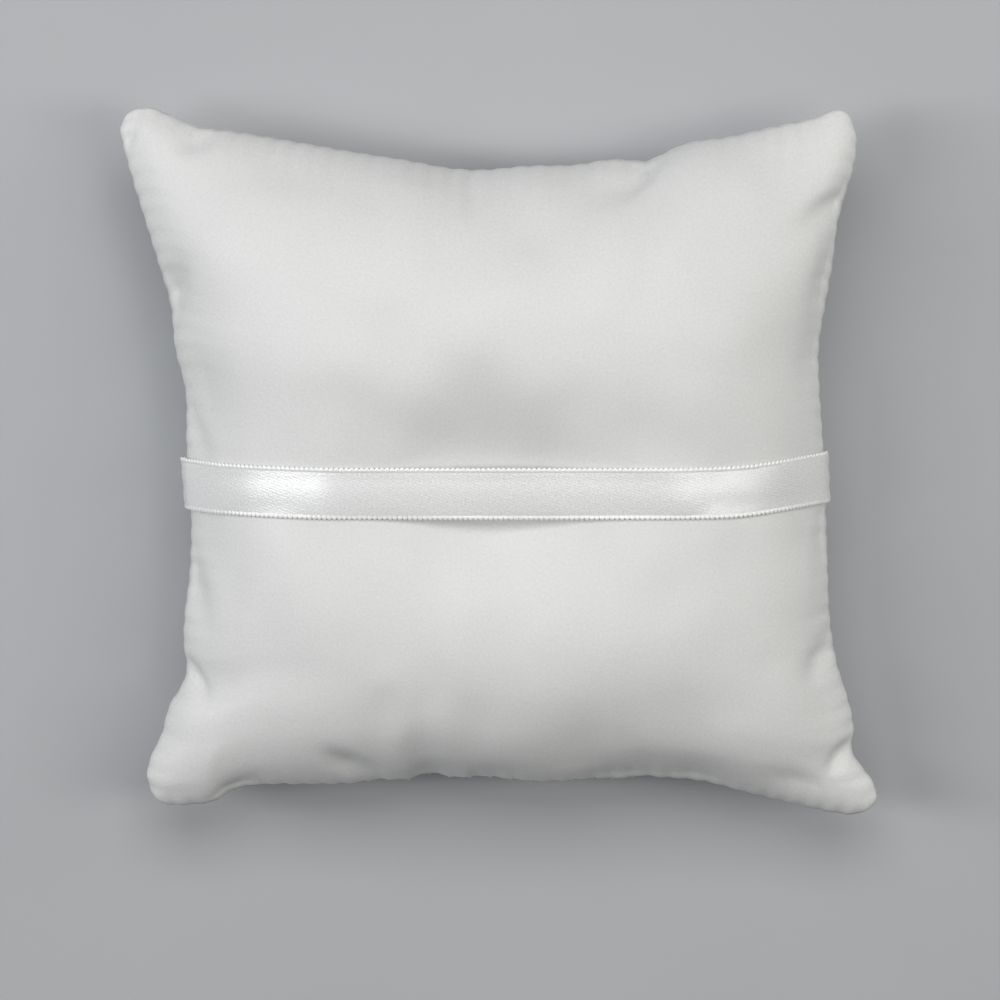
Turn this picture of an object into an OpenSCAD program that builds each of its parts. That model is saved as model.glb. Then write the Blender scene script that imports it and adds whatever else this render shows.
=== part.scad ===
// Ring bearer pillow: two sewn panels round a fibre fill, tufted through the middle, with a satin
// hand strap across the back and a small ribbon bow for the rings on the front.
// The pillow lies on its front: +Z is up through its thickness, +X runs along the strap, and the
// origin is the middle of the footprint on the surface that it rests on.

/* [Pillow] */
// Width between the corner lines, before the corners are rounded
pillow_w = 155; // [110:1:220]
// Height between the corner lines, before the corners are rounded
pillow_h = 145; // [110:1:220]
// How far the middle of the left side is drawn in
left_in = 10.7; // [4:0.1:16]
// How far the middle of the right side is drawn in
right_in = 8.8; // [4:0.1:16]
// How far the middle of the top side is drawn in
top_in = 12.4; // [4:0.1:16]
// How far the middle of the bottom side is drawn in
bottom_in = 6.2; // [4:0.1:16]
// How far the top leans to the left and the bottom to the right
lean = 2.4; // [0:0.1:5]
// Radius of the rounded corners
corner_r = 6; // [3:0.5:10]
// Thickness of the panel cloth
cloth_t = 0.4; // [0.3:0.05:0.8]
// Depth of the turned-in seam allowance
allowance = 8; // [5:0.5:12]

/* [Fill] */
// Height that the fill would reach above the seam on the back, without the tuft
back_rise = 28.5; // [20:0.5:36]
// Height that the fill would reach below the seam on the front, without the tuft
front_rise = 28.5; // [20:0.5:36]
// How far the front is pressed flat where it rests
press = 1.8; // [1.5:0.1:3]
// Clearance between the cloth and the fill
fill_clear = 0.2; // [0.1:0.05:0.4]

/* [Tuft] */
// Sideways place of the tuft from the middle
tuft_x = -1.3; // [-6:0.1:6]
// Upward place of the tuft from the middle
tuft_y = -4.3; // [-8:0.1:8]
// Depth of the tuft on the back
back_tuft = 10.5; // [6:0.5:14]
// Reach of the tuft on the back
back_reach = 19; // [12:0.5:26]
// Depth of the tuft on the front
front_tuft = 12.5; // [10:0.5:14]
// Reach of the tuft on the front
front_reach = 23; // [16:0.5:28]
// Depth of the shallow trough that the ties lie in
trough = 2.2; // [1.6:0.1:3]
// Half width of that trough
trough_w = 10.7; // [8:0.1:14]
// Diameter of the tufting thread
tuft_d = 0.9; // [0.6:0.05:1.2]
// Length of the stitch that the tufting thread makes on the back
tuft_bar = 3.4; // [2:0.1:5]

/* [Ribbons] */
// Thickness of the satin ribbons
ribbon_t = 0.3; // [0.2:0.05:0.5]
// Width of the hand strap
strap_w = 10; // [6:0.5:16]
// Place of the strap up from the middle
strap_y = -4.3; // [-10:0.1:10]
// Clearance of the strap from the cloth
strap_clear = 0.3; // [0.2:0.05:0.6]
// How far the strap stands out where it turns round the seam
strap_proud = 1; // [0.5:0.1:2]
// Length of strap caught in each side seam
strap_tab = 6; // [4:0.5:8]
// Width of the bow and tie ribbon
bow_w = 6; // [4:0.5:8]
// Length of each bow loop
loop_l = 15; // [10:0.5:16]
// Height of each bow loop
loop_h = 1.9; // [1.5:0.1:2.2]
// Width of the ribbon wrapped round the middle of the bow
knot_w = 5; // [3:0.5:7]
// Length of each ring tie from the middle of the bow
tie_l = 34; // [24:1:40]

/* [Stitching] */
// Diameter of the sewing thread
thread_d = 0.25; // [0.15:0.05:0.28]
// Distance of the seam stitching in from the edge
stitch_in = 1.4; // [1:0.1:3]
// Spacing of the hand stitches that close the turning gap
stitch_pitch = 4; // [2:0.5:6]
// Length of the turning gap in the bottom side
gap_l = 56; // [30:1:80]

/* [Hidden] */
cloth_colour = "#f2f2ef";
ribbon_colour = "#ffffff";
thread_colour = "#e6e6e0";
fill_colour = "#dcd8cc";

side_steps = 14; // steps along each side
corner_steps = 4; // steps round each corner
rings = 10; // rings from the edge to the tuft
side_power = 1.6; // how the sides curve in
crown_power = 2.4; // how flat the crown is
edge_power = 0.6; // how round the edge is
tuft_power = 1.3; // how pointed the tuft is
hole_r = tuft_d / 2 + 0.15; // hole that the tufting thread passes through
turn_slack = 0.15; // room in the fold at the edge
hairline = 0.05; // clearance between things sewn together
tie_room = 0.15; // room between the ties and the trough over them
tuft_u_scale = pillow_w / 2 - lean - (left_in + right_in) / 2;
tuft_v_scale = pillow_h / 2 - (top_in + bottom_in) / 2;
tuft_uv = [tuft_x / tuft_u_scale, tuft_y / tuft_v_scale];

seam_gap = 2 * ribbon_t; // the strap and the seam thread share the gap between the allowances
fold = cloth_t + turn_slack; // height of the rounded turn at the edge
edge_z = seam_gap / 2 + fold; // first height of each panel from the seam plane

function drawn(t) = 1 - pow(abs(t), side_power);

// Place in plan of a point of the panel, whose u and v run from -1 to 1
function plan(u, v) = [
    u * (pillow_w / 2 - lean - (u < 0 ? left_in : right_in) * drawn(v)) - lean * v,
    v * (pillow_h / 2 - (v < 0 ? bottom_in : top_in) * drawn(u))
];
tuft_at = plan(tuft_uv[0], tuft_uv[1]);

function crown(u, v) = pow(
    max(0, 1 - pow(abs(u), crown_power)) * max(0, 1 - pow(abs(v), crown_power)), edge_power);
function tuft_dip(u, v, depth, reach) =
    depth * exp(-pow(norm(plan(u, v) - tuft_at) / reach, tuft_power));
function back_height(u, v) = edge_z + crown(u, v) * (back_rise - tuft_dip(u, v, back_tuft, back_reach));
function grooved_height(u, v, groove) = edge_z + crown(u, v) * (front_rise
    - tuft_dip(u, v, front_tuft, front_reach)
    - groove * exp(-pow((v - tuft_uv[1]) * tuft_v_scale / trough_w, 2)));

samples = [-0.95:0.05:0.95];
// The trough is never shallower than the ties that lie in it need
lobe_crest = max([for (u = samples) for (v = samples) grooved_height(u, v, 0)]);
tie_needs = [for (side = [-1, 1]) for (share = [0.5:0.1:1]) for (edge = [-0.5, 0.5])
    let (u = tuft_uv[0] + side * share * tie_l / tuft_u_scale, v = tuft_uv[1] + edge * bow_w / tuft_v_scale)
    (grooved_height(u, v, 0) - lobe_crest + press + hairline + ribbon_t + tie_room)
        / (crown(u, v) * exp(-pow(bow_w / 2 / trough_w, 2)))];
trough_depth = max(trough, max(tie_needs));
function front_height(u, v) = grooved_height(u, v, trough_depth);
front_crest = max([for (u = samples) for (v = samples) front_height(u, v)]);
back_crest = max([for (u = samples) for (v = samples) back_height(u, v)]);
seam_h = front_crest - press; // height of the seam above the resting surface

// Point of a face at a depth under its surface; side is 1 on the back and -1 on the front
function face_z(u, v, side) = side > 0 ? back_height(u, v) : -min(front_height(u, v), seam_h);
function shrink(p, depth, crest) = [
    p[0] * (1 - depth / (pillow_w / 2)),
    p[1] * (1 - depth / (pillow_h / 2)),
    p[2] * (1 - depth / crest)
];
function face_point(u, v, side, depth) = let (p = plan(u, v))
    shrink([p[0], p[1], face_z(u, v, side)], depth, side > 0 ? back_crest : seam_h);

// The rim as a square with rounded corners in u and v, one quarter at a time
corner_share = corner_r / (pillow_h / 2);
function turn_quarter(p, q) = q == 0 ? p : turn_quarter([-p[1], p[0]], q - 1);
rim = [for (q = [0:3]) for (i = [0:side_steps + corner_steps - 1])
    turn_quarter(i <= side_steps
        ? [1, (2 * i / side_steps - 1) * (1 - corner_share)]
        : [1 - corner_share + corner_share * cos(90 * (i - side_steps) / corner_steps),
           1 - corner_share + corner_share * sin(90 * (i - side_steps) / corner_steps)], q)];

ring_share = [for (j = [0:rings - 1]) cos(90 * j / rings)];
function toward(p, share) = tuft_uv + share * (p - tuft_uv);
function face_ring(share, side, depth) =
    [for (p = rim) let (q = toward(p, share)) face_point(q[0], q[1], side, depth)];
function hole_ring(r, side, depth) = let (z = face_point(tuft_uv[0], tuft_uv[1], side, depth)[2])
    [for (p = rim) let (q = p - tuft_uv) [tuft_at[0] + r * q[0] / norm(q), tuft_at[1] + r * q[1] / norm(q), z]];
function flat_ring(inset, z) = [for (p = rim) let (q = plan(p[0], p[1]))
    [q[0] * (1 - inset / (pillow_w / 2)), q[1] * (1 - inset / (pillow_h / 2)), z]];

// A closed solid from rings of equal length, the last joined to the first
module ring_solid(loops) {
    n = len(loops[0]);
    m = len(loops);
    polyhedron(points = [for (loop = loops) each loop], faces = [for (j = [0:m - 1]) for (k = [0:n - 1])
        let (a = j * n + k, b = j * n + (k + 1) % n,
             c = ((j + 1) % m) * n + (k + 1) % n, d = ((j + 1) % m) * n + k)
        each [[a, c, b], [a, d, c]]]);
}

// One panel: outer face, inner face, and the seam allowance turned in between the panels
module panel(side) {
    outer = [for (s = ring_share) face_ring(s, side, 0)];
    inner = [for (j = [rings - 1:-1:0]) face_ring(ring_share[j], side, cloth_t)];
    loops = concat(outer, [hole_ring(hole_r, side, 0), hole_ring(hole_r, side, cloth_t)], inner, [
        flat_ring(2 * cloth_t + turn_slack, side * (seam_gap / 2 + cloth_t)),
        flat_ring(allowance, side * (seam_gap / 2 + cloth_t)),
        flat_ring(allowance, side * seam_gap / 2),
        flat_ring(fold, side * seam_gap / 2)
    ]);
    translate([0, 0, seam_h]) ring_solid(side > 0 ? loops : [for (i = [len(loops) - 1:-1:0]) loops[i]]);
}

module back_panel() {
    color(cloth_colour) panel(1);
}

module front_panel() {
    color(cloth_colour) panel(-1);
}

module fibre_fill() {
    depth = cloth_t + fill_clear;
    edge = 4; // the fill stops this far short of the rim
    first = 2;
    above = seam_gap / 2 + cloth_t + fill_clear;
    channel = hole_r + fill_clear;
    top = [for (j = [rings - 1:-1:first]) face_ring(ring_share[j], 1, depth)];
    low = [for (j = [first:rings - 1]) face_ring(ring_share[j], -1, depth)];
    color(fill_colour) translate([0, 0, seam_h]) ring_solid(concat(
        low, [hole_ring(channel, -1, depth), hole_ring(channel, 1, depth)], top,
        [flat_ring(edge, above), flat_ring(allowance + fill_clear, above),
         flat_ring(allowance + fill_clear, -above), flat_ring(edge, -above)]));
}

// Machine stitching that holds the two allowances together, just inside the edge
module seam_thread() {
    sides = 6;
    middle = -seam_gap / 4; // the strap's ends have the other half of the gap
    color(thread_colour) translate([0, 0, seam_h]) ring_solid([for (i = [0:sides - 1])
        flat_ring(stitch_in + thread_d / 2 * cos(360 * i / sides),
                  middle + thread_d / 2 * sin(360 * i / sides))]);
}

// Hand stitches across the groove of the seam, where the pillow was turned and filled
module closing_stitches() {
    count = floor(gap_l / stitch_pitch);
    reach = (pillow_w / 2 - lean);
    inset = fold / 2;
    color(thread_colour) for (i = [0:count]) {
        q = plan((i - count / 2) * stitch_pitch / reach, -1);
        translate([q[0] * (1 - inset / (pillow_w / 2)), q[1] * (1 - inset / (pillow_h / 2)), seam_h])
            cylinder(h = seam_gap + fold / 4, d = thread_d, center = true, $fn = 16);
    }
}

bow_t = 2.6; // thickness of the gathered bow under its knot
// Highest cloth under the back stitch, and lowest cloth over the knot
back_seat_z = seam_h + back_height(tuft_uv[0], tuft_uv[1] + tuft_bar / 2 / tuft_v_scale);
front_seat_z = seam_h - max([for (v = [-1, 1]) front_height(tuft_uv[0] + knot_w / 2 / tuft_u_scale,
    tuft_uv[1] + v * (bow_w / 2 + ribbon_t + hairline) / tuft_v_scale)]);
bow_top = front_seat_z - fill_clear - ribbon_t - hairline;
bow_under = bow_top - bow_t;
bar_d = tuft_d + 2 * hairline; // the stitches at the thread's ends spread a little
knot_low = bow_under - bar_d - 2 * hairline; // inner lower face of the knot

module tuft_thread() {
    low = bow_under - hairline - bar_d / 2;
    high = back_seat_z + hairline + bar_d / 2;
    color(thread_colour) translate([tuft_at[0], tuft_at[1], 0]) {
        translate([0, 0, low]) cylinder(h = high - low, d = tuft_d, $fn = 24);
        translate([0, 0, high]) rotate([90, 0, 0])
            cylinder(h = tuft_bar, d = bar_d, center = true, $fn = 24);
        translate([0, 0, low]) rotate([90, 0, 0])
            cylinder(h = bow_w - bar_d, d = bar_d, center = true, $fn = 24);
    }
}

// The strap seen from the front: its line over the back, drawn tight across the tuft
strap_v = strap_y / tuft_v_scale;
strap_half_v = strap_w / 2 / tuft_v_scale;
strap_steps = 48;
line_fade = 3; // height over which the strap comes in to the cloth above the seam
strap_u = [for (i = [0:strap_steps]) -cos(180 * i / strap_steps)];
function cloth_over(u, lift) = let (edge = [for (v = [strap_v - strap_half_v, strap_v, strap_v + strap_half_v])
    face_point(u, v, 1, -lift)]) [
        u < 0 ? min([for (p = edge) p[0]]) : max([for (p = edge) p[0]]),
        max([for (p = edge) p[2]])];
function strap_line(lift) = [for (u = strap_u) let (p = cloth_over(u, lift))
    [p[0] + sign(u) * strap_proud * exp(-(p[1] - edge_z) / line_fade), p[1]]];
// Height of a tight line over the points, at point i
function tight(line, i) = max([for (a = [0:i]) for (b = [i:len(line) - 1])
    a == b ? line[i][1] : line[a][1] + (line[b][1] - line[a][1])
        * (line[i][0] - line[a][0]) / (line[b][0] - line[a][0])]);
function taut(line) = [for (i = [0:len(line) - 1]) [line[i][0], tight(line, i)]];
function turned(list) = [for (i = [len(list) - 1:-1:0]) list[i]];

module hand_strap() {
    under = taut(strap_line(strap_clear));
    over = taut(strap_line(strap_clear + ribbon_t));
    rim_left = cloth_over(-1, 0)[0];
    rim_right = cloth_over(1, 0)[0];
    out = strap_clear;
    color(ribbon_colour) translate([0, strap_y + strap_w / 2, seam_h]) rotate([90, 0, 0])
        linear_extrude(strap_w) polygon(concat(
            [[rim_left + strap_tab, seam_gap / 2], [rim_left - out, seam_gap / 2]], under,
            [[rim_right + out, seam_gap / 2], [rim_right - strap_tab, seam_gap / 2],
             [rim_right - strap_tab, seam_gap / 2 - ribbon_t],
             [rim_right + out + ribbon_t, seam_gap / 2 - ribbon_t]], turned(over),
            [[rim_left - out - ribbon_t, seam_gap / 2 - ribbon_t],
             [rim_left + strap_tab, seam_gap / 2 - ribbon_t]]));
}

// Lowest cloth over a ribbon of the bow, at a distance along it from the tuft
bow_half_v = bow_w / 2 / tuft_v_scale;
function cloth_under(x) = let (u = (tuft_at[0] + x) / tuft_u_scale) seam_h
    - max([for (v = [-bow_half_v, 0, bow_half_v]) min(front_height(u, tuft_uv[1] + v), seam_h)]);
loop_gap = fill_clear + ribbon_t + 2 * hairline;
tie_top = hairline + ribbon_t;
// Middle height of a loop, under the cloth and over the tie
function loop_middle(x) = max(cloth_under(x) - loop_gap - loop_h / 2, tie_top + loop_h / 2 + hairline);
// One side of a loop's ribbon: a drop that is pointed at the knot and round at its end
function drop(length, height, back) = [for (a = [0:10:350])
    let (x = -back + (length + back) * (1 - cos(a)) / 2)
    [x, loop_middle(x) + height / 2 * sin(a) * pow(sin(a / 2), 1.2)]];

module bow_loops() {
    overlap = 1;
    color(ribbon_colour) translate([tuft_at[0], tuft_at[1], 0]) difference() {
        union() {
            for (m = [0, 1]) mirror([m, 0, 0]) translate([0, bow_w / 2, 0]) rotate([90, 0, 0])
                linear_extrude(bow_w) difference() {
                    polygon(drop(loop_l, loop_h, overlap));
                    translate([ribbon_t, 0]) polygon(drop(loop_l - 2 * ribbon_t, loop_h - 2 * ribbon_t, 0));
                }
            translate([-knot_w / 2, -bow_w / 2, bow_under]) cube([knot_w, bow_w, bow_t]);
        }
        cylinder(h = 2 * seam_h, r = hole_r, center = true, $fn = 24);
    }
}

module bow_knot() {
    inner_w = bow_w + 2 * hairline;
    inner_h = bow_top + hairline - knot_low;
    color(ribbon_colour) translate([tuft_at[0] - knot_w / 2, tuft_at[1], knot_low]) difference() {
        translate([0, -inner_w / 2 - ribbon_t, -ribbon_t])
            cube([knot_w, inner_w + 2 * ribbon_t, inner_h + 2 * ribbon_t]);
        translate([-1, -inner_w / 2, 0]) cube([knot_w + 2, inner_w, inner_h]);
        translate([knot_w / 2, 0, 0]) cylinder(h = 2 * inner_h, r = hole_r, $fn = 24);
    }
}

// One ring tie: from under the bow, down to the resting surface and out along the trough
module ring_tie(side) {
    start = bar_d / 2 + hairline;
    high = bow_under - hairline;
    fall = 2; // the tie drops this near the knot
    top = [[start, high], [knot_w / 2, high], [knot_w / 2 + fall, tie_top], [tie_l, tie_top]];
    low = [[tie_l, hairline], [knot_w / 2 + fall - ribbon_t / 2, hairline],
        [knot_w / 2 - ribbon_t / 2, high - ribbon_t], [start, high - ribbon_t]];
    color(ribbon_colour) translate([tuft_at[0], tuft_at[1], 0]) mirror([side < 0 ? 1 : 0, 0, 0])
        translate([0, bow_w / 2, 0]) rotate([90, 0, 0]) linear_extrude(bow_w) polygon(concat(top, low));
}

module ring_tie_left() {
    ring_tie(-1);
}

module ring_tie_right() {
    ring_tie(1);
}

back_panel();
front_panel();
fibre_fill();
seam_thread();
closing_stitches();
tuft_thread();
hand_strap();
bow_loops();
bow_knot();
ring_tie_left();
ring_tie_right();
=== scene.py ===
import math
import bpy
import numpy as np
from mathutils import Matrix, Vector


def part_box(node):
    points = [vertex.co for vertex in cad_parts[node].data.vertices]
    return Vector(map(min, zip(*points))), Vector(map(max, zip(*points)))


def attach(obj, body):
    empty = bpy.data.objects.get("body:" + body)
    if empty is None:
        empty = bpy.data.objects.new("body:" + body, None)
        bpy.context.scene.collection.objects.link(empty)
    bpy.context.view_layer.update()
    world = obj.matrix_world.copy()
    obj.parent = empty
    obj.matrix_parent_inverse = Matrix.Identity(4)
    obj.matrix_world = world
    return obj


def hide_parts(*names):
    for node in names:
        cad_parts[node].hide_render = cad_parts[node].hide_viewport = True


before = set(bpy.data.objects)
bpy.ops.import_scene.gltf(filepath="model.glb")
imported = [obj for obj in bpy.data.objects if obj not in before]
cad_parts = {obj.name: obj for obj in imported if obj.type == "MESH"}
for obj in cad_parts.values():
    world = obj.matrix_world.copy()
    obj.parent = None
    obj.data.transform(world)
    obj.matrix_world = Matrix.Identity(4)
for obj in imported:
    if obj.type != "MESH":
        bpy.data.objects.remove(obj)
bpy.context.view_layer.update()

mm = 0.001  # shapes are worked out in millimetres and put into meshes in metres
dice = np.random.default_rng(7)


def boxOf(node):
    # a node's lowest and highest corner, in millimetres
    low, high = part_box(node)
    return np.array(low) / mm, np.array(high) / mm


# places that come from the frame
strapLow, strapHigh = boxOf("hand_strap")
tuftLow, tuftHigh = boxOf("tuft_thread")
knotLow, knotHigh = boxOf("bow_knot")
tieLeftLow, tieLeftHigh = boxOf("ring_tie_left")
tieRightLow, tieRightHigh = boxOf("ring_tie_right")

seamZ = boxOf("seam_thread")[1][2] + 0.03  # the plane of the seam, a hair above the top of its thread
tuftX, tuftY = (tuftLow[:2] + tuftHigh[:2]) / 2
strapY = (strapLow[1] + strapHigh[1]) / 2


# curves and meshes
def curveThrough(points, count):
    # a smooth curve through the points: cubic pieces whose slope at a point is that of its neighbours' chord
    p = np.array(points, float)
    length = np.concatenate([[0], np.cumsum(np.linalg.norm(np.diff(p, axis=0), axis=1))])
    slope = np.gradient(p, length, axis=0)
    t = np.linspace(0, length[-1], count)
    i = np.clip(np.searchsorted(length, t, side="right") - 1, 0, len(p) - 2)
    h = (length[i + 1] - length[i])[:, None]
    f = ((t - length[i]) / h[:, 0])[:, None]
    return ((2 * f**3 - 3 * f**2 + 1) * p[i] + (f**3 - 2 * f**2 + f) * h * slope[i]
            + (3 * f**2 - 2 * f**3) * p[i + 1] + (f**3 - f**2) * h * slope[i + 1])


def evenly(path, count):
    # the same path with its points at equal steps of its length
    step = np.concatenate([[0], np.cumsum(np.linalg.norm(np.diff(path, axis=0), axis=1))])
    t = np.linspace(0, step[-1], count)
    return np.stack([np.interp(t, step, path[:, k]) for k in range(path.shape[1])], axis=1)


def blendMatrix(count, at):
    # weights that carry count even samples over -1..1 to the places in at, by a cubic through four neighbours
    s = (np.clip(at, -1, 1) + 1) / 2 * (count - 1)
    i = np.minimum(np.floor(s).astype(int), count - 2)
    f = s - i
    weights = [(-f + 2 * f**2 - f**3) / 2, (2 - 5 * f**2 + 3 * f**3) / 2,
               (f + 4 * f**2 - 3 * f**3) / 2, (f**3 - f**2) / 2]
    m = np.zeros((len(at), count))
    for k, w in enumerate(weights):
        np.add.at(m, (np.arange(len(at)), np.clip(i + k - 1, 0, count - 1)), w)
    return m


def quadsOf(index):
    # one quad for every four neighbouring numbers of the grid
    return np.stack([index[:-1, :-1], index[:-1, 1:], index[1:, 1:], index[1:, :-1]], axis=-1).reshape(-1, 4)


def gridFaces(rows, cols, flip=False, around=False):
    # the quads of a grid of points, row by row; around joins the last column to the first
    index = np.arange(rows * cols).reshape(rows, cols)
    if around:
        index = np.concatenate([index, index[:, :1]], axis=1)
    quads = quadsOf(index)
    return quads[:, ::-1] if flip else quads


def makePiece(name, points, quads, uv=None, attributes=None, crispRim=False):
    # a mesh object from points in millimetres and quads, with the cloth's own map where it is given
    mesh = bpy.data.meshes.new(name)
    points = np.asarray(points, float).reshape(-1, 3) * mm
    mesh.from_pydata(points.tolist(), [], quads.tolist())
    mesh.polygons.foreach_set("use_smooth", np.ones(len(mesh.polygons), bool))
    if uv is not None:
        corner = np.empty(len(mesh.loops), int)
        mesh.loops.foreach_get("vertex_index", corner)
        layer = mesh.uv_layers.new(name="Cloth")
        layer.data.foreach_set("uv", (np.asarray(uv).reshape(-1, 2) * mm)[corner].ravel())
    for key, value in (attributes or {}).items():
        data = mesh.attributes.new(key, "FLOAT", "POINT")
        data.data.foreach_set("value", np.asarray(value, float).ravel())
    if crispRim:  # the cut edge of a ribbon shows as an edge
        edgeOf = np.empty(len(mesh.loops), int)
        mesh.loops.foreach_get("edge_index", edgeOf)
        single = np.bincount(edgeOf, minlength=len(mesh.edges)) == 1
        mesh.edges.foreach_set("use_edge_sharp", single)
    mesh.validate()
    mesh.update()
    piece = bpy.data.objects.new(name, mesh)
    bpy.context.scene.collection.objects.link(piece)
    return piece


def giveThickness(piece, thickness, offset=-1.0):
    # a wall of even thickness: inwards at -1, outwards at 1, both ways at 0
    wall = piece.modifiers.new("Thickness", "SOLIDIFY")
    wall.thickness = thickness * mm
    wall.offset = offset
    wall.use_even_offset = False
    wall.use_quality_normals = True


def tubes(name, paths, radius):
    # round threads: eight-sided rings of one radius carried along each path, square to it, with closed ends
    sides, upright, endShare = 8, [0.31, 0.17, 0.93], 0.02  # no thread runs along upright
    allPoints, allQuads, start = [], [], 0
    angle = np.linspace(0, 2 * np.pi, sides, endpoint=False)
    for path in paths:
        along = np.gradient(path, axis=0)
        along /= np.linalg.norm(along, axis=1)[:, None]
        side = np.cross(along, upright)
        side /= np.linalg.norm(side, axis=1)[:, None]
        up = np.cross(along, side)
        share = np.ones(len(path))
        share[[0, -1]] = endShare
        ring = (path[:, None] + radius * share[:, None, None]
                * (side[:, None] * np.cos(angle)[:, None] + up[:, None] * np.sin(angle)[:, None]))
        allPoints.append(ring.reshape(-1, 3))
        allQuads.append(gridFaces(len(path), sides, around=True) + start)
        ends = start + np.arange(sides)
        last = ends + (len(path) - 1) * sides
        # three quads close each end
        caps = [ends[::-1][[0, 1, 2, 3]], ends[::-1][[0, 3, 4, 7]], ends[::-1][[4, 5, 6, 7]],
                last[[0, 1, 2, 3]], last[[0, 3, 4, 7]], last[[4, 5, 6, 7]]]
        allQuads.append(np.array(caps))
        start += len(path) * sides
    return makePiece(name, np.concatenate(allPoints), np.concatenate(allQuads))


# the pillow's outline and crown
pillow = {
    "flatWidth": 152.0, "flatHeight": 146.0, "allowance": 8.0,
    "clothThickness": 0.3,
    "rimHeight": 0.45, "rimInset": 0.35, "foldHeight": 0.15,  # the turned edge beside the seam
    "crownPower": 2.4, "edgePower": 0.6,
    "backRise": 30.0, "backTuft": 8.0, "backReach": 22.0, "backPower": 2.0,
    "valley": 5.5, "valleyReach": (22.0, 36.0),  # under the strap: its depth, and its reach above and below
    "frontRise": 28.5, "frontTuft": 12.5, "frontReach": 23.0, "frontPower": 1.3,
    "outlineCount": 1201, "cornerRounds": 160, "evenShare": 0.55,
    "calmReach": 30.0, "dentFade": 1.2, "pressSoft": 0.5, "floorGap": 0.02,
    "trough": 2.2, "troughShare": 0.17, "drawnIn": 10,
    "simAcross": 65, "simUp": 63, "acrossCount": 210, "upCount": 200, "evenRounds": 30,
}

# each side from corner to corner, as the finished seam runs
outline = {
    "top": [(-75.1, 70.3), (-71, 71.5), (-65.6, 69.6), (-60.5, 67.5), (-55.5, 66.9), (-45, 65.2),
            (-30, 62.6), (-18, 60.7), (-9.5, 59.2), (-4.5, 58.9), (5, 59.7), (16, 60), (22, 61),
            (27, 60.8), (29.5, 60.6), (32.5, 62), (37, 64.1), (46, 65.5), (55.9, 67.8), (63.5, 69.4),
            (68.5, 71.1), (70.6, 69.3)],
    "right": [(70.6, 69.3), (71.5, 66.5), (71.3, 60.2), (69.6, 54.2), (68, 48.1), (67.1, 39.8),
              (65.7, 31.6), (64.5, 23.4), (64.7, 15.3), (65.6, 3), (66.2, -9), (66.7, -21), (67.1, -31),
              (68.7, -41.5), (71.2, -49.6), (72.2, -55.5), (71.6, -59), (73.2, -61.9), (75.5, -64.8),
              (77.1, -68.2), (76.6, -71.1)],
    "bottom": [(-70.5, -69.9), (-67.5, -70.7), (-61.9, -70.4), (-57.8, -69.8), (-55.1, -67.8),
               (-51.9, -66.9), (-40, -66.3), (-28.9, -66), (-24, -65.2), (-19.4, -65.5), (-14.6, -64),
               (-9.1, -65), (-3.5, -64.7), (-1, -64.9), (2.9, -65.4), (11, -65.6), (20, -65.2),
               (26.6, -65.1), (28.2, -64.7), (32.9, -65), (40.9, -65.7), (50.8, -68.1), (60.8, -70.6),
               (67.9, -72.2), (73.1, -72.6), (76.6, -71.1)],
    "left": [(-75.1, 70.3), (-76.4, 67.6), (-75.7, 63.6), (-73.7, 56.1), (-71.2, 47.8), (-68.7, 39.4),
             (-66.5, 31.5), (-65.7, 22.9), (-63.8, 15), (-63.6, 3), (-62.8, -9), (-63.1, -22),
             (-64.4, -34), (-64.3, -39.1), (-63.7, -41.6), (-64.7, -45.6), (-67.6, -50.3), (-68.9, -55.7),
             (-71.2, -60.4), (-72.2, -64.1), (-70.5, -69.9)],
}


def smoothRound(values, times):
    # each value round a loop becomes the mean of itself, twice, and its two neighbours
    for _ in range(times):
        values = (np.roll(values, 1, axis=0) + 2 * values + np.roll(values, -1, axis=0)) / 4
    return values


def roundedSides(count, times):
    # the four sides joined into one loop, whose corners are rounded off, and taken apart again
    names = ("top", "right", "bottom", "left")
    sides = [curveThrough(outline[name], count) for name in names]
    turned = [sides[0], sides[1], sides[2][::-1], sides[3][::-1]]
    loop = smoothRound(np.concatenate([side[:-1] for side in turned]), times)
    loop = np.concatenate([loop, loop[:1]])
    cut = [loop[k * (count - 1): (k + 1) * (count - 1) + 1] for k in range(4)]
    return dict(zip(names, (cut[0], cut[1], cut[2][::-1], cut[3][::-1])))


def planOf(u, v):
    # Coons patch: between opposite sides, plus between the other two, less the corners' own bilinear patch
    curves = roundedSides(pillow["outlineCount"], pillow["cornerRounds"])
    walk = np.linspace(-1, 1, pillow["outlineCount"])

    def along(name, at, turned=False):
        curve = curves[name]
        curve = curve[::-1] if turned else curve
        return np.stack([np.interp(at, walk, curve[:, k]) for k in range(2)], axis=-1)

    s, t = (u + 1) / 2, (v + 1) / 2
    bottom, top = along("bottom", u), along("top", u)
    left, right = along("left", v, turned=True), along("right", v, turned=True)
    cornerLow = (1 - s)[:, None] * bottom[0] + s[:, None] * bottom[-1]
    cornerHigh = (1 - s)[:, None] * top[0] + s[:, None] * top[-1]
    t3 = t[:, None, None]
    s3 = s[None, :, None]
    return ((1 - t3) * bottom[None] + t3 * top[None] + (1 - s3) * left[:, None] + s3 * right[:, None]
            - (1 - t3) * cornerLow[None] - t3 * cornerHigh[None])


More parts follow.
